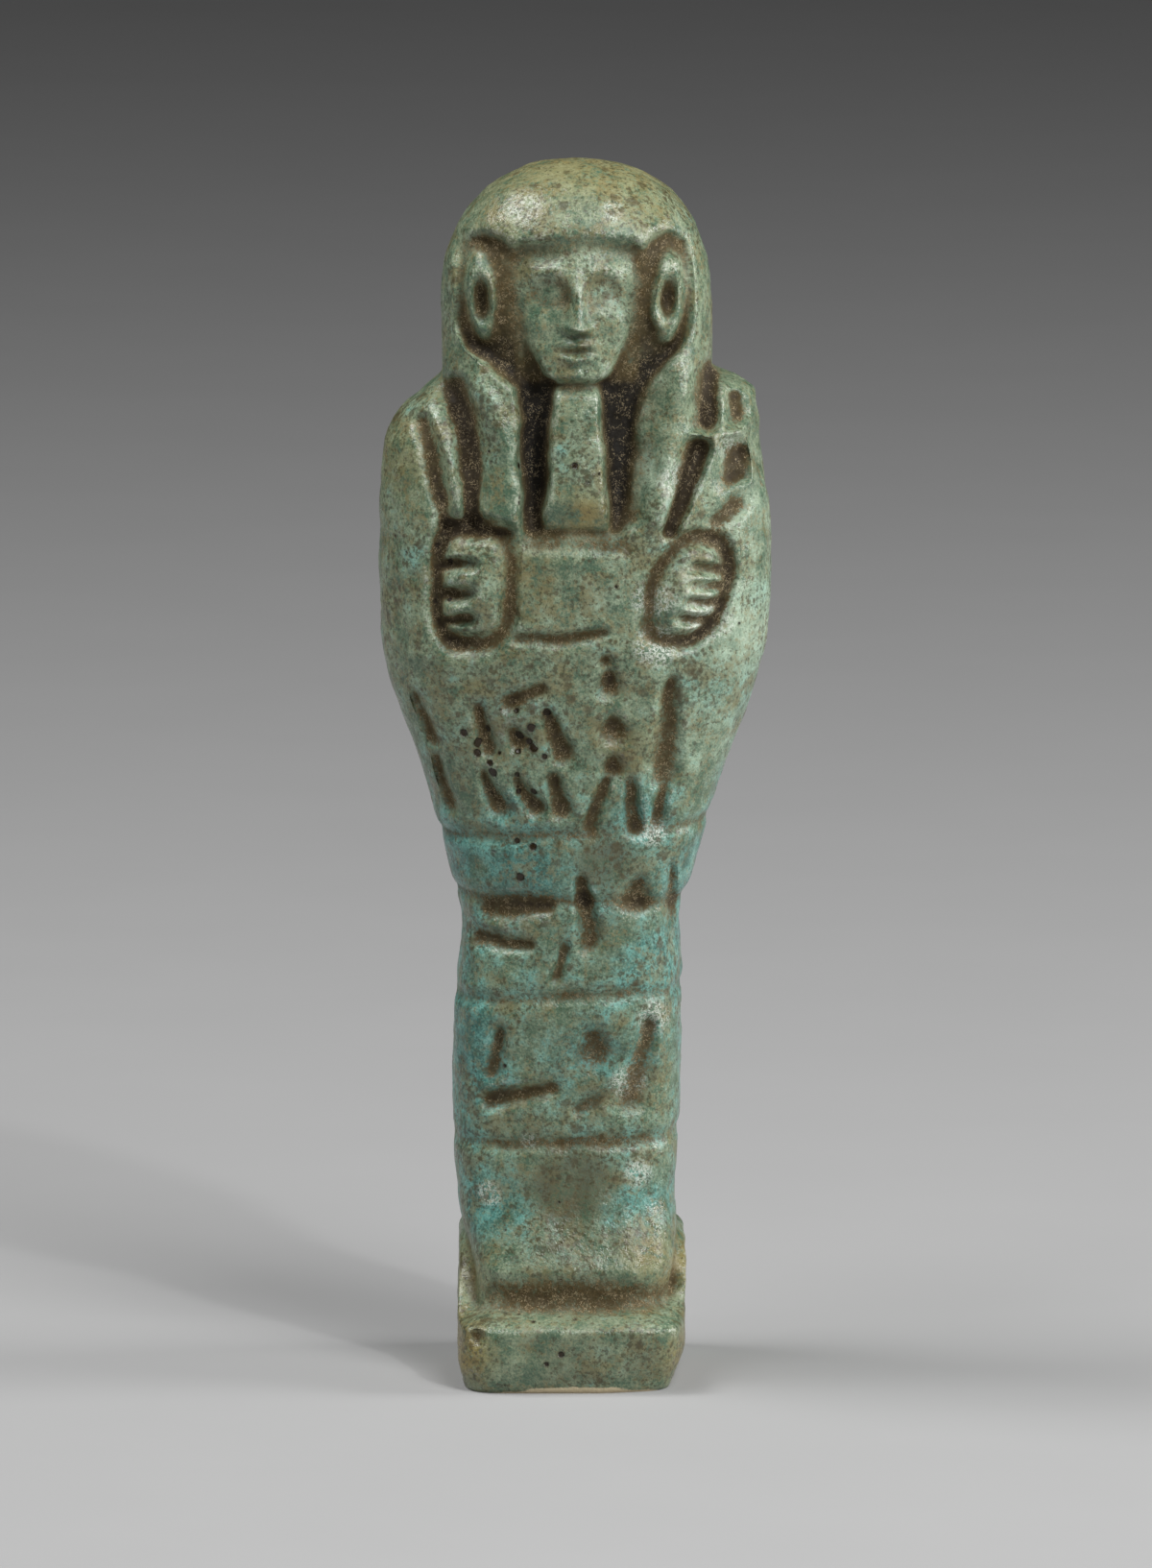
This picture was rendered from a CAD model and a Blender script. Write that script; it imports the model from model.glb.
# An ushabti of glazed faience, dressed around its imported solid: the same form as the solid in a
# fine mesh, with worn and gritty carving, pits, chips and a mottled blue-green glaze full of dirt.
# Lengths of the figure are in millimetres until its mesh is placed; the scene is in metres.
import itertools
import math

import bpy
import numpy as np
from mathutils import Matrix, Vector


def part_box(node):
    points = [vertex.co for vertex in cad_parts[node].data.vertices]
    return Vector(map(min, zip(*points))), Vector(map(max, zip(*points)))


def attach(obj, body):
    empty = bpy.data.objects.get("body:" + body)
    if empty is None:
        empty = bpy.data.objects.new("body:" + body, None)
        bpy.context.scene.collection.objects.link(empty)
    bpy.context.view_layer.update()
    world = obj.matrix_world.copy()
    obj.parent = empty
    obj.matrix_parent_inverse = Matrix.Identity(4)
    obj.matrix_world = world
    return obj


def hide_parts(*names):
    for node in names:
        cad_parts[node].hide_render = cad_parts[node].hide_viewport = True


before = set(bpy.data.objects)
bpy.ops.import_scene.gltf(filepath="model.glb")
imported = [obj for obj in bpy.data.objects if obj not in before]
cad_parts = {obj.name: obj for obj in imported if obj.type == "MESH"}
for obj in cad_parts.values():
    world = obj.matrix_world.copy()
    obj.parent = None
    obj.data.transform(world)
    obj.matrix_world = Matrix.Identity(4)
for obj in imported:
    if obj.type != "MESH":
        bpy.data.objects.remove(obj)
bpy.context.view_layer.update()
NODE = "ushabti"
MM = 0.001

# ---------- driving sizes, as in the solid
HEIGHT = 105.0
ELBOW_HALF_WIDTH = 16.8
HEAD_HALF_WIDTH = 11.6
LEG_HALF_WIDTH = 9.75
DOME_BASE = 93.0  # the wig is a straight wall below this height and a dome above it
DOME_ROUNDNESS = 2.3
PILLAR = {"half_width": 5.6, "back": 10.6, "top": 79.0}
PLINTH = {"half_width": 9.85, "front": 14.0, "squareness": 7, "toe_top": 6.4, "heel_top": 12.6}
# Lines carved round the body: (height at the middle, rise per millimetre to the figure's left).
CARVED_LINES = ((47.8, 0.06), (41.8, -0.03), (33.5, 0.025), (21, 0.03))
LINE = {"half_width": 0.78, "depth": 0.6}

# ---------- mesh
COLUMNS = 250
UNDERSIDE_ROWS = 8
WALL_ROWS = 338
DOME_ROWS = 46
FRONT_DENSITY = 0.4  # columns stand closer on the front than on the back
COLUMN_SPREAD = 1.3
# How many times the points are smoothed: to wear the carving, to blur how deep it is cut, and to
# tell what lies hollow nearby and over a wider stretch.
WEAR_PASSES = 3
CUT_BLUR_PASSES = 2
NEAR_PASSES = 14
FAR_PASSES = 120


# ---------- small tools
def mix(a, b, t):
    return a + (b - a) * t


def ease(start, end, value):
    t = np.clip((value - start) / (end - start), 0, 1)
    return t * t * (3 - 2 * t)


def bump(distance):
    """1 in the middle of a soft bump, 0 from a distance of 1."""
    return (1 - np.clip(np.abs(distance), 0, 1) ** 2) ** 2


def soft_max(a, b, blend):
    """The larger of two values, rounded where they are within `blend` of each other."""
    h = np.maximum(blend - np.abs(a - b), 0) / blend
    return np.maximum(a, b) + h * h * blend / 4


def soft_min(a, b, blend):
    return -soft_max(-a, -b, blend)


def curve(stations):
    """A smooth curve through (place, value) stations that doesn't overshoot between them."""
    places, values = np.array(stations, float).T
    rise = np.diff(values) / np.diff(places)
    slopes = np.zeros(len(places))
    before, after = rise[:-1], rise[1:]
    total = np.where(before * after > 0, before + after, 1)
    slopes[1:-1] = np.where(before * after > 0, 2 * before * after / total, 0)

    def value_at(place):
        place = np.clip(place, places[0], places[-1])
        i = np.clip(np.searchsorted(places, place, side="right") - 1, 0, len(places) - 2)
        width = places[i + 1] - places[i]
        t = (place - places[i]) / width
        level = mix(values[i], values[i + 1], t * t * (3 - 2 * t))
        return level + width * t * (1 - t) * (slopes[i] * (1 - t) - slopes[i + 1] * t)

    return value_at


def noise(points, size, seed):
    """Smooth random values from -1 to 1 whose lumps are about `size` across."""
    lattice = np.random.default_rng(seed).uniform(-1, 1, (32, 32, 32))
    scaled = points / size
    cell = np.floor(scaled).astype(int)
    t = scaled - cell
    t = t * t * (3 - 2 * t)
    total = np.zeros(points.shape[:-1])
    for corner in itertools.product((0, 1), repeat=3):
        weight = np.prod(np.where(np.array(corner) == 1, t, 1 - t), axis=-1)
        place = (cell + corner) % 32
        total += weight * lattice[place[..., 0], place[..., 1], place[..., 2]]
    return total


# ---------- the uncarved form: at each height, how far it reaches from its axis at an angle.
# Angle 0 is the front and a quarter turn the figure's left side, at +X.
axis_x = curve([
    (0, -0.5), (6, -0.5), (11, -0.35), (16, -0.9), (30, -0.85), (38, -0.5), (46, -0.4), (60, -0.3),
    (70, 0),
])

BODY = {
    "half_width": curve([
        (0, 8.8), (8, 8.6), (11, 8.9), (14, LEG_HALF_WIDTH - 0.4), (28, LEG_HALF_WIDTH + 0.1),
        (34, LEG_HALF_WIDTH), (39.2, LEG_HALF_WIDTH - 0.35), (43.5, 10.5), (50, 12.25), (54, 13.5),
        (58, 14.95), (61, 15.9), (64, 16.5), (70, ELBOW_HALF_WIDTH), (75, ELBOW_HALF_WIDTH),
        (79, ELBOW_HALF_WIDTH - 0.4), (81, 16.15),
        (82.5, 15.75), (84, 15.05), (85, 14.4), (86, 13.4), (86.8, 11.8), (87.8, 8), (89, 3),
    ]),
    "front": curve([
        (0, 10.6), (6, 10.7), (7.4, 11.1), (8.6, 11.3), (9.4, 11.05), (10.4, 10.5), (11.8, 9.8),
        (13.4, 9.1), (15.2, 8.5), (18, 8.25), (30, 8.8), (38, 9.05), (45, 9.5), (52, 10.1), (60, 10.8),
        (66, 11.2),
        (73, 11.2), (77, 10.9), (80, 10.4), (82.6, 9.7), (84.4, 8.9), (86, 7.6), (89, 2),
    ]),
    "back": curve([
        (0, 8), (14, 6.9), (30, 7.3), (45, 7.9), (58, 8.5), (70, 8.8), (78, 8.7), (82.6, 8.2),
        (84.4, 7.5), (86, 6.4), (89, 2),
    ]),
    "squareness": curve([(5, 4.2), (10, 4.5), (15, 3.6), (34, 2.9), (60, 2.6), (89, 2.5)]),
    # The shoulders differ: the figure's left one is the more square at the top.
    "left_more": curve([
        (72, 0), (77, -0.3), (81, -0.45), (82.5, -0.15), (84, 0.25), (85.4, 0.9), (86.5, 0.8), (88, 0),
    ]),
}

WIG = {
    "half_width": curve([
        (73, 7.2), (75.4, 7.9), (81, 9.4), (84, 10.8), (86.5, HEAD_HALF_WIDTH), (93, HEAD_HALF_WIDTH),
    ]),
    "front": curve([
        (73, 8.5), (74, 10.8), (76, 11.1), (80, 11), (84, 10.85), (88, 10.9), (93, 10.9),
    ]),
    "back": curve([(78.2, 6), (79.4, 8.9), (80.2, 9.35), (86, 9.4), (93, 9.3)]),
    "squareness": curve([(73, 4.4), (80, 3.8), (86, 2.9), (93, 2.5)]),
    "left_more": lambda z: 0,
}


def oval_radius(angle, form, z):
    depth = np.where(np.cos(angle) > 0, form["front"](z), form["back"](z))
    power = form["squareness"](z)
    across = np.abs(np.sin(angle)) / (form["half_width"](z) + np.sign(angle) * form["left_more"](z))
    along = np.abs(np.cos(angle)) / depth
    return (across**power + along**power) ** (-1 / power)


def under_edge(left, forward, z):
    """The worn edge round the underside, most rounded at the left toe."""
    height = 2.2 + 2 * ease(2, 8, left) * ease(0, 8, forward)
    return 0.45 * height * (1 - np.clip(z / height, 0, 1)) ** 2


def plinth_radius(angle, z):
    """A low block under the feet, whose top rises from the toes to the heels."""
    power = PLINTH["squareness"]
    reach = np.where(np.cos(angle) > 0, PLINTH["front"], PILLAR["back"])
    across = np.abs(np.sin(angle)) / PLINTH["half_width"]
    along = np.abs(np.cos(angle)) / reach
    wall = (across**power + along**power) ** (-1 / power)
    forward, left = wall * np.cos(angle), wall * np.sin(angle)
    top = mix(PLINTH["heel_top"], PLINTH["toe_top"], ease(1, 10, forward))
    over_top = np.maximum(0, z - (top - 1.1)) / 1.1
    return np.maximum(0, wall - 1.6 * over_top**2 - under_edge(left, forward, z))


def pillar_radius(angle, z):
    """A straight flat pillar up the back, from the floor to just under the wig."""
    to_side = PILLAR["half_width"] - np.sign(np.sin(angle)) * axis_x(z)
    side = to_side / np.maximum(np.abs(np.sin(angle)), 1e-6)
    flat = PILLAR["back"] / np.maximum(-np.cos(angle), 1e-6)
    radius = soft_min(side, flat, 0.9) - under_edge(0, 0, z)
    radius = radius * (1 - ease(PILLAR["top"] - 0.5, PILLAR["top"] + 0.7, z))
    return np.where(np.cos(angle) < 0, radius, 0)


def form_radius(angle, z):
    dome = (z - DOME_BASE) / (HEIGHT - DOME_BASE)
    dome = (1 - np.clip(dome, 0, 1) ** DOME_ROUNDNESS) ** (1 / DOME_ROUNDNESS)
    body = np.where(z > 90, 0, oval_radius(angle, BODY, z))
    wig = np.where(z < 73, 0, oval_radius(angle, WIG, z) * dome)
    figure = soft_max(body, wig, 0.6)
    joined = soft_max(soft_max(figure, plinth_radius(angle, z), 0.8), pillar_radius(angle, z), 0.7)
    joined = np.where(z > PILLAR["top"] + 1, figure, joined)
    flat_back = PILLAR["back"] / np.maximum(-np.cos(angle), 1e-6)
    return np.where(np.cos(angle) < 0, np.minimum(joined, flat_back), joined)


# ---------- carving on the front: each step takes places (x, z) and how far forward the surface
# stands there, and gives back how far forward it stands once that step is carved.
def nearness(x, z, path, half_widths):
    """Distance to a path over the path's half-width there, which tapers along it."""
    nearest = np.full(np.broadcast(x, z).shape, np.inf)
    for i, ((ax, az), (bx, bz)) in enumerate(zip(path[:-1], path[1:])):
        along = ((x - ax) * (bx - ax) + (z - az) * (bz - az)) / ((bx - ax) ** 2 + (bz - az) ** 2)
        along = np.clip(along, 0, 1)
        away = np.hypot(x - mix(ax, bx, along), z - mix(az, bz, along))
        share = (i + along) / (len(path) - 1)
        nearest = np.minimum(nearest, away / mix(half_widths[0], half_widths[1], share))
    return nearest


def carve_paths(x, z, forward, paths):
    cut, raised = 0, 0
    for path, half_widths, depth in paths:
        share = bump(nearness(x, z, path, half_widths))
        cut = np.maximum(cut, depth * share)
        raised = np.maximum(raised, -depth * share)
    return forward - cut + raised


# The wig's opening: wide where the ears stand, narrow down both sides of the beard.
HAIRLINE = 98.8
BEARD_FOOT = 73.9
opening_left = curve([
    (73, 4), (81, 4.5), (84, 5), (86.3, 5.9), (87.8, 7), (89, 8.3), (90.2, 9.1), (91.6, 9.5), (99, 9.6),
])
opening_right = curve([
    (73, 4.2), (83, 4.5), (86.3, 4.9), (87.6, 6), (88.7, 7.6), (89.9, 9.3), (91.6, 10.1), (99, 10.3),
])
opening_depth = curve([(73, 0.9), (74.5, 1.9), (77, 2.9), (85, 3.2), (89, 2.7), (92, 2.1), (99, 1.7)])
# The lappets hang as rounded ridges; the figure's left one slopes off towards the beard.
lappet_left = curve([(73, 6.3), (75.4, 6.8), (81.3, 8.1), (87, 9.4)])
lappet_right = curve([(73, 5.7), (75.4, 5.8), (81.3, 6.5), (87, 8.4)])
LAPPET = {"half_width": 2.4, "crest": 1.0, "slope": 1.7}


def carve_opening(x, z, forward):
    edge = 0.6
    top = HAIRLINE + 0.4 * bump((np.abs(x) - 7.6) / 1.8) - 0.4 * bump((np.abs(x) - 5.5) / 0.9)
    half_width = np.where(x > 0, opening_left(z), opening_right(z))
    inside = ease(-edge, edge, half_width - np.abs(x))
    inside = inside * ease(-edge, edge, top - z) * ease(-0.8, 0.8, z - BEARD_FOOT)
    lappet = np.where(x > 0, lappet_left(z), lappet_right(z))
    crest = LAPPET["crest"] * bump((np.abs(x) - lappet) / LAPPET["half_width"])
    slope = LAPPET["slope"] * ease(lappet, half_width, x) * (x > 0)
    on_lappet = (1 - inside) * ease(0, 1.5, z - BEARD_FOOT) * ease(89, 86, z)
    depth = opening_depth(z) * (1 - 0.25 * ease(7.5, 10, np.abs(x)))
    return forward + (crest - slope) * on_lappet - depth * inside


# The face: brow, eyes, nose and mouth stand at set shares of the height from hairline to chin.
# CHIN and the widest half-width, 5.1, were measured on the photograph.
CHIN = 86.5
THIRD = (HAIRLINE - CHIN) / 3
BROW = HAIRLINE - 0.62 * THIRD
NOSE_FOOT = CHIN + 1.22 * THIRD
EYE = mix(BROW, NOSE_FOOT, 0.34)
MOUTH = mix(NOSE_FOOT, CHIN, 0.36)
EYE_X = 2.15
face_half_width = curve([
    (CHIN - 0.1, 0.9), (CHIN + 0.4, 2), (CHIN + 1.3, 3), (MOUTH, 4), (NOSE_FOOT, 4.7), (EYE, 5.1),
    (HAIRLINE, 5.1),
])
face_front = curve([
    (CHIN - 0.2, 9.3), (CHIN + 1, 10.3), (MOUTH, 10.3), (NOSE_FOOT, 10.15), (EYE, 9.95), (BROW, 9.95),
    (HAIRLINE, 9.1),
])


def face_forward(x, z):
    side = np.abs(x)
    from_eye = side - EYE_X
    socket = np.hypot(from_eye / 2.1, (z - EYE) / 1.45)
    eyeball = np.hypot(from_eye / 1.5, (z - EYE) / 0.85)
    brow_line = BROW + 0.2 - 0.07 * from_eye**2
    nose_length = np.clip((BROW - z) / (BROW - NOSE_FOOT), 0, 1)
    nose_width = mix(0.85, 1.4, nose_length)
    nose_ridge = np.where(z > NOSE_FOOT, 1, bump((z - NOSE_FOOT) / 0.55))
    forward = face_front(z) - 0.065 * x**2
    forward += 0.45 * bump((z - brow_line) / 0.7) * ease(0.5, 1.2, side) * ease(4.7, 3.7, side)
    forward += -1.3 * bump(socket) + 1.35 * bump(eyeball)
    lid = np.hypot(from_eye / 1.75, (z - EYE - 0.1) / 1.05)
    forward += 0.4 * bump((lid - 1) / 0.3) * ease(EYE - 0.5, EYE + 0.2, z)
    forward += 0.3 * bump(np.hypot((side - 3.2) / 1.5, (z - NOSE_FOOT - 0.5) / 1.6))
    nose = mix(0.5, 2.1, nose_length) * bump(x / nose_width) * nose_ridge
    forward += nose * ease(BROW + 0.9, BROW - 0.2, z)
    forward += 0.6 * bump(np.hypot((side - 0.95) / 0.65, (z - NOSE_FOOT - 0.35) / 0.6))
    forward += 0.7 * bump(np.hypot(x / 2.2, (z - MOUTH - 0.5) / 0.65))
    forward += 0.65 * bump(np.hypot(x / 1.8, (z - MOUTH + 0.55) / 0.65))
    forward -= 0.5 * bump(np.hypot(x / 2.5, (z - MOUTH) / 0.4))
    forward += 0.4 * bump(np.hypot(x / 1.5, (z - CHIN - 1.1) / 1))
    outside = ease(-0.5, 0.7, side - face_half_width(z))
    return forward - 3.2 * outside - 3 * ease(CHIN + 0.2, CHIN - 0.5, z)


def face_creases(x, z):
    """Where dirt gathers on the face: round the eyes, beside the nose and between the lips."""
    side = np.abs(x)
    round_eye = bump((np.hypot((side - EYE_X) / 1.75, (z - EYE) / 1.05) - 1) / 0.4)
    beside_nose = bump(np.hypot((side - 1.7) / 0.6, (z - NOSE_FOOT - 0.2) / 0.7))
    between_lips = bump(np.hypot(x / 2.6, (z - MOUTH) / 0.35))
    return np.maximum(np.maximum(round_eye, 0.7 * beside_nose), between_lips)


EAR = {"left": 7.7, "right": 8.1, "z": 93.9, "half_width": 1.5, "half_height": 4.0, "lean": 0.06}


def ear_rise(x, z):
    """An open ring with a full lobe, leaning towards the face at the foot."""
    middle = np.where(x > 0, EAR["left"], EAR["right"]) + EAR["lean"] * (z - EAR["z"])
    across = (np.abs(x) - middle) / EAR["half_width"]
    up = (z - EAR["z"]) / EAR["half_height"]
    ring = 1.5 * bump((np.hypot(across, up) - 0.64) / 0.52)
    lobe = 1.5 * bump(np.hypot(across, (up + 0.66) * 1.8) / 0.95)
    return np.maximum(ring, lobe) * ease(1.25, 1, np.hypot(across, up))


beard_half_width = curve([(73.5, 3.15), (80, 2.6), (86, 2.15), (CHIN, 2.1)])
beard_front = curve([(73, 10.4), (75, 10.9), (77, 11.5), (82, 11.05), (85.6, 10.5), (CHIN, 9.7)])


def beard_forward(x, z):
    beyond = np.abs(x) - beard_half_width(z)
    ends = ease(BEARD_FOOT - 0.8, BEARD_FOOT + 0.6, z) * ease(CHIN + 0.6, CHIN, z)
    return beard_front(z) - 0.05 * x**2 - 3.2 * ease(-0.45, 0.6, beyond) - 4 * (1 - ends)


def carve_head(x, z, forward):
    carved = carve_opening(x, z, forward)
    carved = np.where(z > 89, carved + ear_rise(x, z), carved)
    middle = np.abs(x) < 6.5
    on_face = middle & (z > CHIN - 1) & (z < HAIRLINE + 0.2)
    carved = np.where(on_face, soft_max(carved, face_forward(x, z), 0.35), carved)
    on_beard = middle & (z < CHIN + 1)
    carved = np.where(on_beard, soft_max(carved, beard_forward(x, z), 0.35), carved)
    return np.where(z < BEARD_FOOT - 1, forward, carved)


# A groove is (height, half-width, how far out from the middle it starts).
FISTS = (
    {"x": -8.7, "z": 69.5, "half_width": 2.7, "half_height": 4.3, "lean": 0.03, "squareness": 3.2,
     "grooves": ((2, 0.7, 0.4), (-0.5, 0.95, 0.7), (-2.8, 0.6, 0.5))},
    {"x": 9.4, "z": 69, "half_width": 2.7, "half_height": 3.8, "lean": 0.24, "squareness": 2.5,
     "grooves": ((2, 0.7, 0.4), (0.6, 0.55, 0.7), (-0.8, 0.6, 0.6), (-2.3, 0.7, 0.2))},
)


def carve_fist(x, z, forward, fist):
    """A rounded pad in a deep outline, with grooves between the fingers on its outer side."""
    up = z - fist["z"]
    outwards = (x - fist["x"] - fist["lean"] * up) * math.copysign(1, fist["x"])
    power = fist["squareness"]
    reach = np.abs(outwards / fist["half_width"]) ** power + np.abs(up / fist["half_height"]) ** power
    reach = reach ** (1 / power)
    outline = mix(0.85, 1.25, ease(-2, 2, outwards)) * bump((reach - 1.18) / 0.3)
    pad = 0.9 * ease(1.15, 0.2, reach)
    gaps = 0
    for height, half_width, start in fist["grooves"]:
        bar = np.hypot((up - height + 0.14 * outwards) / half_width, np.maximum(0, start - outwards))
        gaps = np.maximum(gaps, bump(bar) * ease(1.2, 1, reach))
    return np.where(reach > 1.6, forward, forward + pad - np.maximum(outline, 1.35 * gaps))


# Hollows between wig, hoes and arms (positive depths) and the hoes left between them (negative).
SHOULDER_CARVING = (
    (((-13, 83), (-12.2, 79), (-11.1, 74.8)), (1.25, 0.75), 1.1),
    (((-10.4, 86), (-9.3, 82), (-8.8, 75)), (1.6, 0.9), 1.5),
    (((-12.3, 83.8), (-10.9, 80.2), (-9.6, 75.2)), (0.8, 0.6), -0.6),
    (((-13.4, 84.5), (-12.5, 85)), (1.6, 1.4), -0.7),
    (((11.2, 87), (11, 83.7)), (1.9, 1.7), 1.6),
    (((13.4, 85.2), (13.9, 83.7)), (0.85, 1.2), 1.5),
    (((10.2, 80.7), (9.2, 77.5), (7.9, 74.2)), (1.9, 0.9), 1.5),
    (((13.7, 80.2), (13.3, 78.6)), (1.7, 1.8), 1.3),
    (((13.7, 76.2), (12, 74.9)), (1.4, 1.4), 0.9),
    (((14.8, 82.3), (15.9, 77.2)), (0.5, 0.45), 0.9),
    (((12.2, 86.2), (12.1, 82.3), (11.3, 80), (8.9, 74.4)), (0.75, 0.75), -0.9),
    (((10.2, 82.3), (12.3, 82.2), (14.2, 82.3)), (0.85, 0.8), -0.9),
    (((13.8, 84.6), (14.9, 81.4), (15.2, 77.8), (13.6, 77.8)), (0.6, 0.65), -0.7),
    (((-4.4, 73.3), (4, 73.1)), (1.2, 1.2), 0.6),
    (((-11, 74.4), (-5.4, 74.1)), (0.7, 0.7), 0.4),
)

# Rows of separate strokes and pits on the body, in place of writing:
# (x, height in the row, length, lean in degrees, half-width).
MARK_DEPTH = 0.95
MARK_TAPER = (0.55, 1.3)
MARK_ROWS = (
    (58.4, (
        (-13.1, -0.8, 4.4, -24, 0.7), (-7.9, -1.3, 3.8, -16, 1), (-4.3, 1.6, 3, 68, 1),
        (-5.1, -2, 1.2, -30, 1), (-2, -1.6, 3.6, -22, 1.05), (2.5, 4.9, 0.3, 0, 0.75),
        (2.7, 2.9, 1.1, 0, 1.3), (3.1, -1, 0.5, 0, 1.6), (7.7, -1.4, 8.4, 4, 1.5),
    )),
    (51.9, (
        (-11.5, 0.2, 4.6, -16, 0.7), (-7.2, -0.2, 3.4, -24, 1.1), (-4.3, -0.5, 3, -36, 0.9),
        (-1.6, -0.5, 3, -14, 1), (3, 2.2, 0.6, 0, 1.3), (1.8, -1.2, 4, 18, 0.8),
        (4.6, -1.4, 3.8, -6, 0.9), (7.2, -1.2, 3, 12, 0.85),
    )),
    (38.9, (
        (-5, 2.4, 5.4, 86, 1.05), (-6.1, -0.7, 4.2, 95, 1), (-1.4, -2.1, 3, 14, 0.6),
        (0.8, 2.2, 5.2, -8, 1.25), (5.2, 4, 1.4, 8, 1.6), (8.2, 3.6, 4.4, -4, 0.7),
    )),
    (27, (
        (-6.9, 1.9, 3.6, 10, 1), (-4.6, -1.9, 5.6, 78, 0.95), (1.3, 2.5, 1.2, -6, 2.4),
        (5.4, 1, 6.2, 16, 1.8), (1.4, -2.6, 3, 62, 0.6),
    )),
)
CHEST_LINE = (((-5.2, 65), (-1.5, 64.9), (2.2, 65.4)), (0.75, 0.6), 0.8)
TOE_HOLLOW = (((-7.2, 8.4), (7.4, 8.2)), (2.1, 2.1), 0.9)
# A burst bubble at one toe corner of the foot block and a chip out of the other.
CHIPS = ((((-8.5, 5), (-8.4, 4.9)), (0.8, 0.8), 1), (((9.3, 7), (9.7, 4.6)), (1.2, 0.8), 0.9))


def mark_path(row_z, x, rise, length, lean, half_width):
    angle = math.radians(lean)
    half = (math.sin(angle) * length / 2, math.cos(angle) * length / 2)
    ends = ((x + half[0], row_z + rise + half[1]), (x - half[0], row_z + rise - half[1]))
    half_widths = tuple(share * half_width for share in MARK_TAPER)
    return ends, half_widths, MARK_DEPTH * min(1, half_width / 0.7)


MARKS = tuple(mark_path(row_z, *mark) for row_z, marks in MARK_ROWS for mark in marks)


def carve_front(x, z, forward):
    """How far forward the carved front stands, and how deep its strokes are cut below that."""
    head = carve_head(x, z, forward)
    carved = head
    for fist in FISTS:
        carved = carve_fist(x, z, carved, fist)
    carved = carve_paths(x, z, carved, (*SHOULDER_CARVING, CHEST_LINE, *MARKS, TOE_HOLLOW, *CHIPS))
    return carved, np.maximum(head - carved, 0)


# ---------- the whole surface
def surface(angle, z):
    """Points of the carved surface, how deep each is cut, and how much of that is by a stroke.

    The strokes waver as a hand's do."""
    facing = np.cos(angle)
    radius = form_radius(angle, z)
    plain = np.stack(np.broadcast_arrays(radius * np.sin(angle), -radius * facing, z), axis=-1)
    waver_x = 0.16 * noise(plain, 2.6, 1) + 0.1 * noise(plain, 1.1, 2)
    waver_z = 0.16 * noise(plain, 2.6, 3) + 0.1 * noise(plain, 1.1, 4)
    lines = 0
    for middle, rise in CARVED_LINES:
        line = middle + rise * radius * np.sin(angle)
        near = (z + waver_z + 0.25 * noise(plain, 9, 5) - line) / LINE["half_width"]
        worn = 0.75 + 0.35 * noise(plain, 5, 6)
        lines = lines + LINE["depth"] * worn * bump(near) * ease(-0.25, 0.15, facing)
    radius = radius - lines
    x = axis_x(z) + radius * np.sin(angle)
    forward = radius * facing
    carved, strokes = carve_front(x + waver_x, z + waver_z, forward)
    on_front = np.where(facing > 0, ease(0, 0.3, facing), 0)
    points = np.stack([x, -mix(forward, carved, on_front), np.broadcast_to(z, x.shape)], axis=-1)
    on_face = ease(5.6, 4.6, np.abs(x)) * ease(CHIN - 0.5, CHIN + 1, z)
    strokes = 1.7 * lines + (strokes + 0.9 * face_creases(x, z)) * on_front
    return points, (forward - carved - 1.1 * on_face) * on_front, strokes


def column_angles():
    turn = 2 * np.arange(COLUMNS) / COLUMNS - 1
    spread = np.pi * turn - FRONT_DENSITY * np.sin(np.pi * turn)
    return np.arctan2(COLUMN_SPREAD * np.sin(spread), np.cos(spread))


def row_heights():
    """Heights of the wall's rows, closer over the toes and the carved upper body, then the dome's."""
    fine = np.linspace(0, DOME_BASE, 4000)
    density = 1 + 0.9 * bump((fine - 7) / 3.5) + 0.5 * ease(63, 66, fine) + 0.5 * bump((fine - 92) / 9)
    travelled = np.cumsum(density)
    wall = np.interp(np.arange(WALL_ROWS) / WALL_ROWS * travelled[-1], travelled, fine)
    wall[0] = 0
    climb = np.sin(np.arange(DOME_ROWS) / DOME_ROWS * np.pi / 2)
    dome = mix(DOME_BASE, HEIGHT, climb ** (2 / DOME_ROUNDNESS))
    return np.concatenate([wall, dome])


def smoothed(grid, passes):
    """The grid with each point drawn half-way to the mean of its neighbours, `passes` times."""
    for _ in range(passes):
        around = np.roll(grid, 1, axis=1) + np.roll(grid, -1, axis=1)
        above = np.concatenate([grid[1:], grid[-1:]])
        below = np.concatenate([grid[:1], grid[:-1]])
        grid = (grid + (around + above + below) / 4) / 2
    return grid


def grid_normals(grid):
    around = np.roll(grid, -1, axis=1) - np.roll(grid, 1, axis=1)
    up = np.gradient(grid, axis=0)
    normals = np.cross(around, up)
    return normals / np.maximum(np.linalg.norm(normals, axis=-1, keepdims=True), 1e-12)


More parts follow.
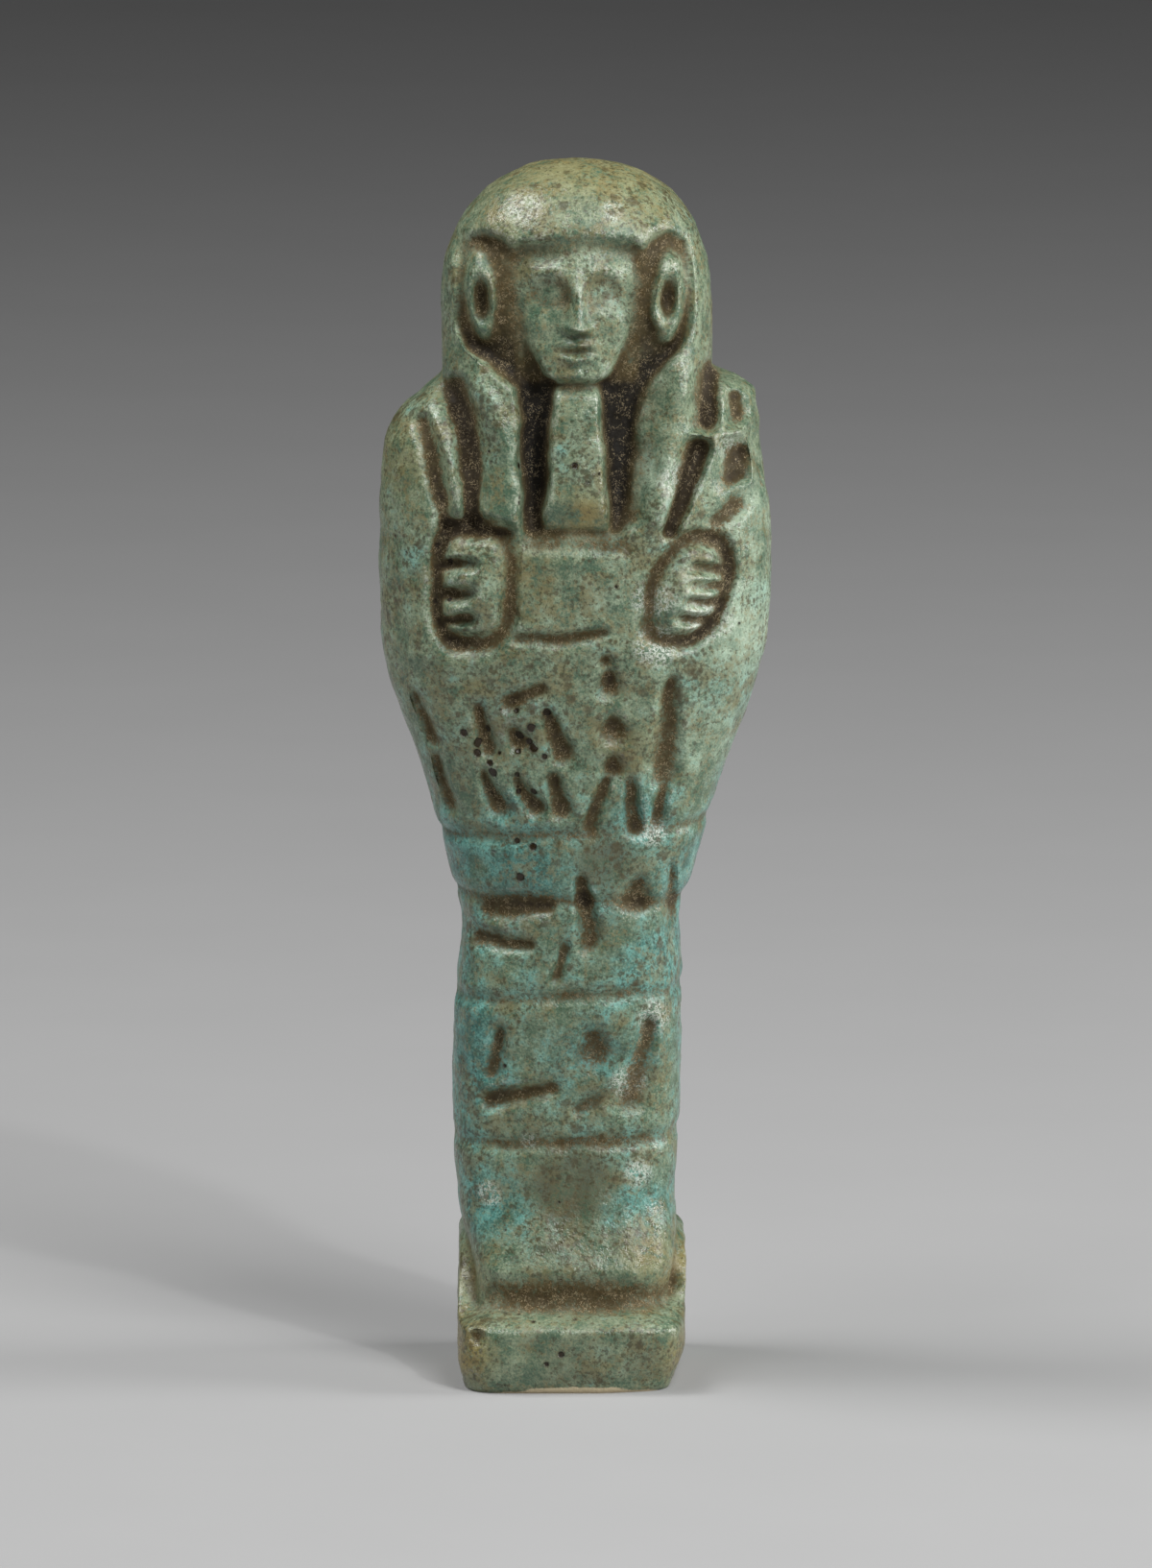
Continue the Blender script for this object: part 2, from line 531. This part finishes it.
def worn_surface():
    """The grid of points, how deep each is cut in all and by a stroke, and how hollow it lies."""
    grid, cut, strokes = surface(column_angles()[None, :], row_heights()[:, None])
    sole = grid[0].copy()
    grid = smoothed(grid, WEAR_PASSES)
    grid[0] = sole
    normals = grid_normals(grid)
    exposed_wall = ease(0.0, 1.2, grid[..., 2])
    lumps = 0.16 * noise(grid, 8, 10) + 0.12 * noise(grid, 3.2, 11) + 0.08 * noise(grid, 1.4, 12)
    grit = 0.04 * noise(grid, 0.7, 13)
    grid = grid + normals * ((lumps + grit - 0.2) * exposed_wall)[..., None]
    near = smoothed(grid, NEAR_PASSES)
    far = smoothed(grid, FAR_PASSES)
    normals = grid_normals(near)
    fine_hollow = np.sum((near - grid) * normals, axis=-1)
    broad_hollow = np.sum((far - grid) * grid_normals(far), axis=-1)
    cuts = smoothed(np.stack([cut, strokes], axis=-1), CUT_BLUR_PASSES)
    return grid, cuts[..., 0], cuts[..., 1], fine_hollow, broad_hollow


def shape_mesh(grid):
    """One closed mesh: rings of the grid, a fan on top and rings across the flat underside."""
    sole = grid[0]
    rings = [sole * (row / UNDERSIDE_ROWS) for row in range(1, UNDERSIDE_ROWS)]
    rows = np.concatenate([np.stack(rings), grid])
    top = grid[-1].mean(axis=0)
    top[2] = grid[..., 2].max()
    points = np.concatenate([[[0, 0, 0]], rows.reshape(-1, 3), [top]])
    count = len(rows)
    corner = 1 + np.arange(count)[:, None] * COLUMNS + np.arange(COLUMNS)[None, :]
    following = np.roll(corner, -1, axis=1)
    quads = np.stack([corner[:-1], following[:-1], following[1:], corner[1:]], axis=-1).reshape(-1, 4)
    bottom = [(int(b), int(a), 0) for a, b in zip(corner[0], following[0])]
    crown = [(int(a), int(b), len(points) - 1) for a, b in zip(corner[-1], following[-1])]
    return points, quads.tolist() + bottom + crown


def fit_to_box(points, low, high):
    """Places millimetre points in the solid's box, in metres."""
    own_low, own_high = points.min(axis=0), points.max(axis=0)
    share = (points - own_low) / (own_high - own_low)
    return np.array(low) + share * (np.array(high) - np.array(low))


def point_layer(mesh, name, grid_values, fill):
    """A value on each point: from the grid on the wall and dome, `fill` across the underside."""
    head = np.full(1 + (UNDERSIDE_ROWS - 1) * COLUMNS, fill)
    values = np.concatenate([head, grid_values.reshape(-1), [grid_values[-1].mean()]])
    layer = mesh.attributes.new(name, "FLOAT", "POINT")
    layer.data.foreach_set("value", values.astype(np.float32))


def spots(grid, places):
    """How far each point lies inside any of some soft round spots (x, z, radius, strength)."""
    total = np.zeros(grid.shape[:2])
    front = ease(4, 0, grid[..., 1])
    for x, z, radius, strength in places:
        away = np.hypot(grid[..., 0] - x, grid[..., 2] - z) / radius
        total = np.maximum(total, strength * bump(away) * front)
    return total


# Where the glaze and the dirt on the front differ: (x, z, radius, strength), placed by hand.
BLUE_SPOTS = (
    (-4.5, 44.6, 5.2, 1.0), (9.6, 44, 5, 0.75), (-10, 46, 4, 0.7), (5.5, 50, 4.5, 0.7), (-8.6, 31, 4, 0.8),
    (-7, 15, 4.5, 0.9), (6, 14.6, 5, 0.8), (7, 36.5, 5, 0.7), (-8.2, 27, 4.5, 0.8), (13.5, 61, 7, 0.6),
    (16, 68, 4, 0.5), (5.8, 29, 3.5, 0.7), (0.5, 28.5, 5, 0.5), (-5.5, 50, 4, 0.6),
    (-6.3, 80, 3.4, 0.45), (5.2, 81, 3, 0.5), (-13.5, 71, 3.5, 0.4),
)
PINHOLE_SPOTS = (
    (-6, 56, 9, 1.2), (-6, 45, 6, 1.1), (0.5, 79, 4, 0.8), (-13, 70, 6, 0.8), (-7, 79, 4.5, 0.9),
    (-4, 15, 6, 0.6), (-2, 3, 10, 0.5), (4, 71, 4, 0.6), (-7, 25, 6, 0.7), (12, 65, 5, 0.4),
)
BROWN_SPOTS = (
    (-0.5, 17, 6, 1.1), (2.2, 45.5, 4.4, 0.75), (-1, 33, 3, 0.35), (3.6, 55, 4, 0.5), (0, 8.5, 11, 0.5),
    (-2.5, 3, 9, 0.5), (-11.5, 62, 3.5, 0.4), (1.5, 25.5, 2.6, 0.4), (-6, 57, 6, 0.5),
    (-5.5, 42.3, 4.5, 0.6),
    (4, 41, 4, 0.5), (6, 3, 6, 0.4), (-4, 21, 4, 0.4), (-8, 62, 5, 0.3),
)
DIRTY_SPOTS = (
    (11.2, 85.6, 2, 0.9), (13.8, 79.4, 2.2, 0.8), (9.8, 79.6, 1.8, 0.8), (12.6, 75.6, 2, 0.5),
    (-9.6, 84, 2.2, 0.6), (13.6, 84.3, 1.2, 0.7), (-2.4, 73.4, 2.6, 0.4), (2.6, 73.2, 3, 0.5),
    (-0.4, 16.6, 5, 0.3),
)
OCHRE_SPOTS = (
    (-10, 3.4, 4.2, 1.4), (10, 2.5, 4.2, 1.4), (9, 9.5, 3.4, 1), (6.5, 101, 3, 0.5), (-6.5, 100, 3, 0.5),
    (0.8, 75.8, 3, 1.1), (4.2, 55.5, 3.4, 0.7), (6, 12, 4, 0.8), (-9.5, 9, 3, 0.7),
    (-4, 71, 4, 0.4), (-15, 80, 5, 0.5),
)
CRACKLE_SPOTS = (
    (-4.4, 101.6, 2.6, 1.1), (3, 101.4, 2, 0.9), (6.6, 64.3, 3.4, 1.1), (6.4, 68.5, 3.4, 0.9),
    (9, 78.4, 3, 0.9), (11, 66.5, 3, 0.9),
    (5.2, 18.2, 3, 0.8), (-7.4, 16.4, 2.2, 1), (4.4, 26, 3, 1), (6.5, 31.6, 3, 0.9), (6.4, 48, 2.4, 1),
    (13, 81, 3, 0.7), (-3, 41, 2, 0.8), (8.4, 9.6, 3, 0.6), (-4, 21, 2, 0.7),
)
PALE_SPOTS = (
    (14.5, 65, 9, 1.0), (15, 75, 7, 0.7), (10, 68, 5, 0.8), (3, 69, 5, 0.5), (6.3, 79, 4.5, 0.8),
    (12, 57, 8, 0.65),
    (8.5, 45, 5, 0.4), (8, 37, 4.5, 0.35), (-13.5, 73, 5, 0.35), (0, 68, 6, 0.3), (-7, 69, 4, 0.2),
)
blue_by_height = curve([
    (0, 0.12), (9, 0.2), (14, 0.55), (22, 0.62), (34, 0.72), (42, 0.8), (50, 0.62), (57, 0.38), (66, 0.2),
    (80, 0.2), (93, 0.12), (105, 0),
])


def make_figure():
    grid, cut, strokes, fine_hollow, broad_hollow = worn_surface()
    points, faces = shape_mesh(grid)
    mesh = bpy.data.meshes.new("glazed_ushabti")
    low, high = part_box(NODE)
    mesh.from_pydata(fit_to_box(points, low, high).tolist(), [], faces)
    mesh.shade_smooth()
    x, y, z = grid[..., 0], grid[..., 1], grid[..., 2]
    point_layer(mesh, "cut", cut, 0)
    at_toes = bump((z - 8) / 2.2) * ease(9.2, 7.2, np.abs(x)) * ease(-9, -11, y)
    point_layer(mesh, "strokes", strokes + 0.8 * at_toes + spots(grid, DIRTY_SPOTS), 0)
    point_layer(mesh, "fine_hollow", fine_hollow, 0)
    point_layer(mesh, "broad_hollow", broad_hollow, 0)
    to_side = np.abs(x) / np.maximum(BODY["half_width"](z), 1)
    side_blue = 0.25 * ease(0.72, 1, to_side) * ease(63, 50, z) * ease(10, 18, z)
    blue = blue_by_height(z) * 0.62 + side_blue + 0.6 * spots(grid, BLUE_SPOTS)
    point_layer(mesh, "blue", blue, 0)
    point_layer(mesh, "brown", spots(grid, BROWN_SPOTS), 0)
    point_layer(mesh, "ochre", spots(grid, OCHRE_SPOTS), 0)
    point_layer(mesh, "crackle", spots(grid, CRACKLE_SPOTS), 0)
    point_layer(mesh, "pale", spots(grid, PALE_SPOTS), 0)
    point_layer(mesh, "pinholes", spots(grid, PINHOLE_SPOTS), 0)
    bare_edge = -0.1 + 0.75 * bump(x / 8.5) * ease(0, -8, y)
    point_layer(mesh, "bare", ease(bare_edge + 0.15, bare_edge - 0.15, z), 1)
    figure = bpy.data.objects.new("glazed_ushabti", mesh)
    bpy.context.scene.collection.objects.link(figure)
    mesh.materials.append(faience_material())
    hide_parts(NODE)
    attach(figure, "root")
    return figure


# ---------- materials
class Nodes:
    """A short way to write a material's node tree."""

    def __init__(self, name):
        self.material = bpy.data.materials.new(name)
        self.material.use_nodes = True
        self.tree = self.material.node_tree
        self.tree.nodes.clear()

    def add(self, kind, inputs=None, **settings):
        node = self.tree.nodes.new("ShaderNode" + kind)
        for key, value in settings.items():
            setattr(node, key, value)
        for key, value in (inputs or {}).items():
            socket = node.inputs[key]
            if isinstance(value, bpy.types.NodeSocket):
                self.tree.links.new(value, socket)
            else:
                socket.default_value = value
        return node

    def math(self, operation, a, b=0.0):
        return self.add("Math", {0: a, 1: b}, operation=operation).outputs[0]

    def plus(self, a, b):
        return self.math("ADD", a, b)

    def times(self, a, b):
        return self.math("MULTIPLY", a, b)

    def less(self, a, b):
        return self.math("SUBTRACT", a, b)

    def off_centre(self, value, share):
        """How far a noise value lies from its middle, times `share`."""
        return self.times(self.math("SUBTRACT", value, 0.5), share)

    def shifted(self, place, distance):
        return self.add("VectorMath", {0: place, 1: (distance,) * 3}, operation="ADD").outputs[0]

    def ramp(self, value, start, end):
        """0 below start and 1 above end, smooth between; falls when start is above end."""
        up = start < end
        settings = {"Value": value, "From Min": min(start, end), "From Max": max(start, end)}
        settings |= {"To Min": 0.0 if up else 1.0, "To Max": 1.0 if up else 0.0}
        return self.add("MapRange", settings, interpolation_type="SMOOTHSTEP").outputs["Result"]

    def blend(self, share, a, b):
        return self.add("Mix", {0: share, 6: a, 7: b}, data_type="RGBA").outputs[2]

    def layer(self, name):
        return self.add("Attribute", attribute_name=name).outputs["Fac"]

    def noise(self, place, scale, detail=2.0, roughness=0.5):
        values = {"Vector": place, "Scale": scale, "Detail": detail, "Roughness": roughness}
        return self.add("TexNoise", values).outputs["Fac"]


def rgb(red, green, blue):
    """A colour given in sRGB from 0 to 255, as a linear colour."""
    def linear(value):
        value /= 255
        return value / 12.92 if value <= 0.04045 else ((value + 0.055) / 1.055) ** 2.4

    return (linear(red), linear(green), linear(blue), 1.0)


PALE_GREEN = rgb(164, 176, 144)
GREEN = rgb(82, 108, 86)
PALE_TURQUOISE = rgb(122, 180, 168)
TURQUOISE = rgb(46, 98, 92)
PALE_GLAZE = rgb(188, 210, 184)
TAN = rgb(132, 118, 76)
OLIVE = rgb(58, 58, 36)
OCHRE = rgb(142, 128, 76)
FILM_BROWN = rgb(82, 74, 50)
DIRT = rgb(76, 61, 28)
DUSTY_DIRT = rgb(108, 88, 50)
DARK_DIRT = rgb(42, 31, 12)
BLACK_DIRT = rgb(15, 11, 5)
FIBRE = rgb(204, 184, 146)
WORN = rgb(222, 228, 216)
BARE_BODY = rgb(226, 210, 174)
SPECKS = ((0.8, 0.65), (1.6, 0.7))  # (cells per millimetre, strength of colour)
LINT_TURNS = (0.1, 0.9, 1.7, 2.5)
LINT_CELLS = (13.0, 1.6, 1.6)  # cells per millimetre across and along a thread


def faience_material():
    n = Nodes("faience_glaze")
    place = n.add("TexCoord").outputs["Object"]
    place = n.add("VectorMath", {0: place, "Scale": 1 / MM}, operation="SCALE").outputs[0]
    height = n.add("SeparateXYZ", {0: place}).outputs["Z"]
    cut, fine_hollow, broad_hollow = n.layer("cut"), n.layer("fine_hollow"), n.layer("broad_hollow")
    cloud = n.noise(place, 0.16, 3, 0.6)
    drift = n.noise(place, 0.6, 4, 0.65)
    fleck = n.noise(n.shifted(place, 31), 2.2, 3, 0.65)
    grain = n.noise(place, 5.0, 2, 0.6)

    # Glaze: fine pale and dark grains of green, turquoise where it ran thick, tan and olive flecks.
    tone = n.plus(n.off_centre(grain, 0.8), n.off_centre(fleck, 0.35))
    tone = n.ramp(n.plus(tone, n.plus(n.off_centre(drift, 1.1), n.off_centre(cloud, 0.5))), -0.28, 0.3)
    green = n.blend(tone, GREEN, PALE_GREEN)
    turquoise = n.blend(tone, TURQUOISE, PALE_TURQUOISE)
    patch = n.plus(n.layer("blue"), n.off_centre(cloud, 1.3))
    patch = n.plus(n.plus(patch, n.off_centre(drift, 1.9)), n.off_centre(fleck, 0.9))
    colour = n.blend(n.ramp(patch, 0.15, 0.95), green, turquoise)
    pale = n.plus(n.layer("pale"), n.plus(n.off_centre(drift, 1.2), n.off_centre(grain, 0.6)))
    pale = n.ramp(pale, 0.1, 1.3)
    colour = n.blend(n.times(pale, 0.7), colour, PALE_GLAZE)
    crackle = n.math("ABSOLUTE", n.off_centre(n.noise(place, 2.0, 4, 0.7), 1.0))
    crackled = n.ramp(n.plus(n.times(pale, 0.5), n.layer("crackle")), 0.35, 0.8)
    crackle = n.times(n.ramp(crackle, 0.06, 0.01), crackled)
    colour = n.blend(n.times(crackle, 0.85), colour, WORN)
    ochre = n.math("MAXIMUM", n.times(n.ramp(height, 99.5, 106.0), 0.8), n.layer("ochre"))
    ochre = n.times(ochre, n.ramp(n.plus(drift, n.off_centre(fleck, 0.8)), 0.22, 0.55))
    colour = n.blend(n.times(ochre, 0.85), colour, OCHRE)
    tan_drift = n.off_centre(n.noise(n.shifted(place, 90), 0.45, 4, 0.6), 1.2)
    tan_drift = n.plus(tan_drift, n.off_centre(cloud, 0.5))
    tan = n.ramp(n.plus(n.plus(fleck, tan_drift), n.off_centre(grain, 0.4)), 0.45, 0.72)
    colour = n.blend(n.times(tan, 0.6), colour, TAN)
    olive = n.noise(n.shifted(place, 67), 2.6, 2, 0.6)
    olive = n.plus(olive, n.plus(n.off_centre(cloud, 0.4), n.off_centre(grain, 0.5)))
    colour = n.blend(n.times(n.ramp(olive, 0.52, 0.68), 0.7), colour, OLIVE)

    # Soft brown specks all over, and a thin brown film in some places.
    for scale, share in SPECKS:
        speck = n.add("TexVoronoi", {"Vector": place, "Scale": scale, "Randomness": 1.0})
        speck_chance = n.add("SeparateColor", {0: speck.outputs["Color"]}).outputs["Green"]
        speck_size = n.times(n.ramp(n.plus(speck_chance, n.off_centre(cloud, 1.2)), 0.5, 1.2), 0.46)
        speck_edge = n.plus(n.less(speck.outputs["Distance"], speck_size), n.off_centre(grain, 0.4))
        colour = n.blend(n.times(n.ramp(speck_edge, 0.1, -0.16), share), colour, FILM_BROWN)
    film = n.plus(n.layer("brown"), n.off_centre(cloud, 0.8))
    film = n.times(n.ramp(film, 0.05, 0.9), n.ramp(n.plus(drift, n.times(grain, 0.5)), 0.4, 0.95))
    colour = n.blend(n.times(film, 0.85), colour, FILM_BROWN)

    # Pinholes: small black pits where the glaze boiled, in a browner ring.
    cells = n.add("TexVoronoi", {"Vector": place, "Scale": 0.85, "Randomness": 1.0})
    chance = n.add("SeparateColor", {0: cells.outputs["Color"]}).outputs["Red"]
    size = n.times(n.ramp(n.plus(chance, n.times(n.layer("pinholes"), 0.55)), 0.85, 1.5), 0.36)
    pit_edge = n.plus(n.less(cells.outputs["Distance"], size), n.off_centre(grain, 0.12))
    colour = n.blend(n.times(n.ramp(pit_edge, 0.2, -0.02), 0.5), colour, FILM_BROWN)
    pit = n.ramp(pit_edge, 0.03, -0.08)

    # Dirt fills what is carved, with pale threads of lint caught in it; ridges are rubbed pale.
    uneven = n.plus(n.off_centre(n.noise(place, 0.55, 5, 0.75), 0.85), n.off_centre(grain, 0.35))
    depth = n.plus(n.times(fine_hollow, 1.1), n.times(broad_hollow, 0.4))
    depth = n.plus(n.plus(depth, n.times(n.ramp(cut, 0.3, 2.2), 0.65)), uneven)
    packing = n.plus(1.0, n.plus(n.off_centre(fleck, 2.2), n.off_centre(grain, 1.0)))
    packed = n.times(n.layer("strokes"), packing)
    depth = n.plus(depth, n.times(n.ramp(packed, 0.15, 1.4), 0.6))
    light_dirt = n.ramp(depth, -0.02, 0.8)
    heavy_dirt = n.ramp(depth, 0.6, 1.45)
    dust = n.ramp(n.plus(grain, n.off_centre(fleck, 0.8)), 0.5, 0.72)
    colour = n.blend(n.times(light_dirt, 0.92), colour, n.blend(n.times(dust, 0.7), DIRT, DUSTY_DIRT))
    colour = n.blend(n.times(heavy_dirt, 0.9), colour, DARK_DIRT)
    deepest = n.ramp(n.plus(cut, n.times(uneven, 1.6)), 2.1, 3.1)
    colour = n.blend(n.times(deepest, 0.9), colour, BLACK_DIRT)
    lint = 0.0
    for turn in LINT_TURNS:
        turned = n.add("Mapping", {"Vector": place, "Rotation": (0.0, turn, 0.0)}).outputs[0]
        drawn = n.add("VectorMath", {0: turned, 1: LINT_CELLS}, operation="MULTIPLY").outputs[0]
        hairs = n.add("TexVoronoi", {"Vector": drawn, "Scale": 1.0, "Randomness": 1.0})
        lint = n.math("MAXIMUM", lint, n.ramp(hairs.outputs["Distance"], 0.27, 0.13))
    lint = n.times(lint, n.ramp(n.plus(n.noise(place, 1.3, 2), n.off_centre(grain, 0.4)), 0.4, 0.62))
    colour = n.blend(n.times(n.times(lint, light_dirt), 0.65), colour, FIBRE)
    rubbed = n.ramp(n.plus(grain, n.off_centre(drift, 0.9)), 0.48, 0.66)
    rub = n.times(n.ramp(fine_hollow, -0.06, -0.2), rubbed)
    colour = n.blend(n.times(rub, 0.3), colour, WORN)
    colour = n.blend(pit, colour, DARK_DIRT)

    # The underside has no glaze.
    bare = n.ramp(n.plus(n.layer("bare"), uneven), 0.35, 0.75)
    colour = n.blend(bare, colour, BARE_BODY)

    rough = n.plus(n.times(n.noise(n.shifted(place, 12), 0.9, 4, 0.7), 0.75), -0.04)
    rough = n.plus(rough, n.times(light_dirt, 0.5))
    rough = n.math("MAXIMUM", rough, n.times(bare, 0.9))

    relief = n.plus(n.times(n.noise(place, 3.0, 2, 0.6), 0.09), n.times(n.noise(place, 0.8, 2), 0.06))
    relief = n.less(relief, n.times(pit, 0.25))
    normal = n.add("Bump", {"Strength": 1.0, "Distance": MM, "Height": relief}).outputs["Normal"]
    shader = n.add("BsdfPrincipled", {
        "Base Color": colour, "Roughness": rough, "Normal": normal, "IOR": 1.5, "Metallic": 0.0,
    })
    n.add("OutputMaterial", {"Surface": shader.outputs[0]})
    return n.material


def stage_material(name, shade):
    n = Nodes(name)
    place = n.add("TexCoord").outputs["Object"]
    tint = n.ramp(n.noise(place, 40, 3), 0.2, 0.8)
    dark, light = (shade * 0.99,) * 3 + (1.0,), (shade * 1.01,) * 3 + (1.0,)
    shader = n.add("BsdfPrincipled", {"Base Color": n.blend(tint, dark, light), "Roughness": 0.9})
    n.add("OutputMaterial", {"Surface": shader.outputs[0]})
    return n.material


# ---------- stage, light and camera
def make_floor():
    """A wide pale floor that runs far back and then rises."""
    half_width, front, rise_at, top, turn = 7.0, -7.0, 5.0, 5.0, 1.2
    profile = [(front, 0.0), (rise_at, 0.0)]
    for step in range(1, 17):
        angle = step / 16 * math.pi / 2
        profile.append((rise_at + turn * math.sin(angle), turn * (1 - math.cos(angle))))
    profile.append((rise_at + turn, top))
    verts = [(x, y, z) for y, z in profile for x in (-half_width, half_width)]
    faces = [(2 * i, 2 * i + 1, 2 * i + 3, 2 * i + 2) for i in range(len(profile) - 1)]
    mesh = bpy.data.meshes.new("studio_floor")
    mesh.from_pydata(verts, [], faces)
    mesh.shade_smooth()
    mesh.materials.append(stage_material("pale_floor", 0.41))
    floor = bpy.data.objects.new("studio_floor", mesh)
    bpy.context.scene.collection.objects.link(floor)


def aim(obj, target):
    direction = Vector(target) - obj.location
    obj.rotation_euler = direction.to_track_quat("-Z", "Y").to_euler()


# Disk lights that all face the figure from the same distance: (name, degrees right of the front,
# degrees above the floor, disk width in metres, watts).
LIGHT_DISTANCE = 0.75
LIGHTS = (
    ("key", 35, 38, 0.3, 1.2),
    ("glint", 32, 36, 0.04, 1.1),
    ("top", 35, 60, 0.3, 1.7),
    ("right", 90, 20, 0.3, 3.3),
    ("back_left", -95, 60, 0.3, 2.75),
    ("front_left", -50, 60, 0.3, 1.0),
)


def light_stage():
    middle = Vector((0, 0, 0.03))
    for name, turn, rise, size, watts in LIGHTS:
        data = bpy.data.lights.new(name, "AREA")
        data.shape = "DISK"
        data.size = size
        data.energy = watts
        light = bpy.data.objects.new(name, data)
        bpy.context.scene.collection.objects.link(light)
        turn, rise = math.radians(turn), math.radians(rise)
        outwards = (math.sin(turn) * math.cos(rise), -math.cos(turn) * math.cos(rise), math.sin(rise))
        light.location = middle + Vector(outwards) * LIGHT_DISTANCE
        aim(light, middle)
    world = bpy.data.worlds.new("soft_room")
    world.use_nodes = True
    world.node_tree.nodes["Background"].inputs["Color"].default_value = (0.95, 0.98, 1.0, 1.0)
    world.node_tree.nodes["Background"].inputs["Strength"].default_value = 0.004
    bpy.context.scene.world = world


CAMERA_DISTANCE = 1.5
CAMERA_ELEVATION = math.radians(9)
FRAME_HEIGHT = 0.1348  # what the frame's height covers at the figure


def make_camera():
    data = bpy.data.cameras.new("camera")
    data.sensor_width = 36
    data.lens = data.sensor_width * CAMERA_DISTANCE / FRAME_HEIGHT
    data.clip_start, data.clip_end = 0.05, 60
    camera = bpy.data.objects.new("camera", data)
    bpy.context.scene.collection.objects.link(camera)
    target = Vector((0.00008, 0, 0.0511))
    back = Vector((0, -math.cos(CAMERA_ELEVATION), math.sin(CAMERA_ELEVATION)))
    camera.location = target + back * CAMERA_DISTANCE
    aim(camera, target)
    bpy.context.scene.camera = camera


make_camera()
make_figure()
make_floor()
light_stage()
bpy.context.scene.view_settings.view_transform = "Standard"
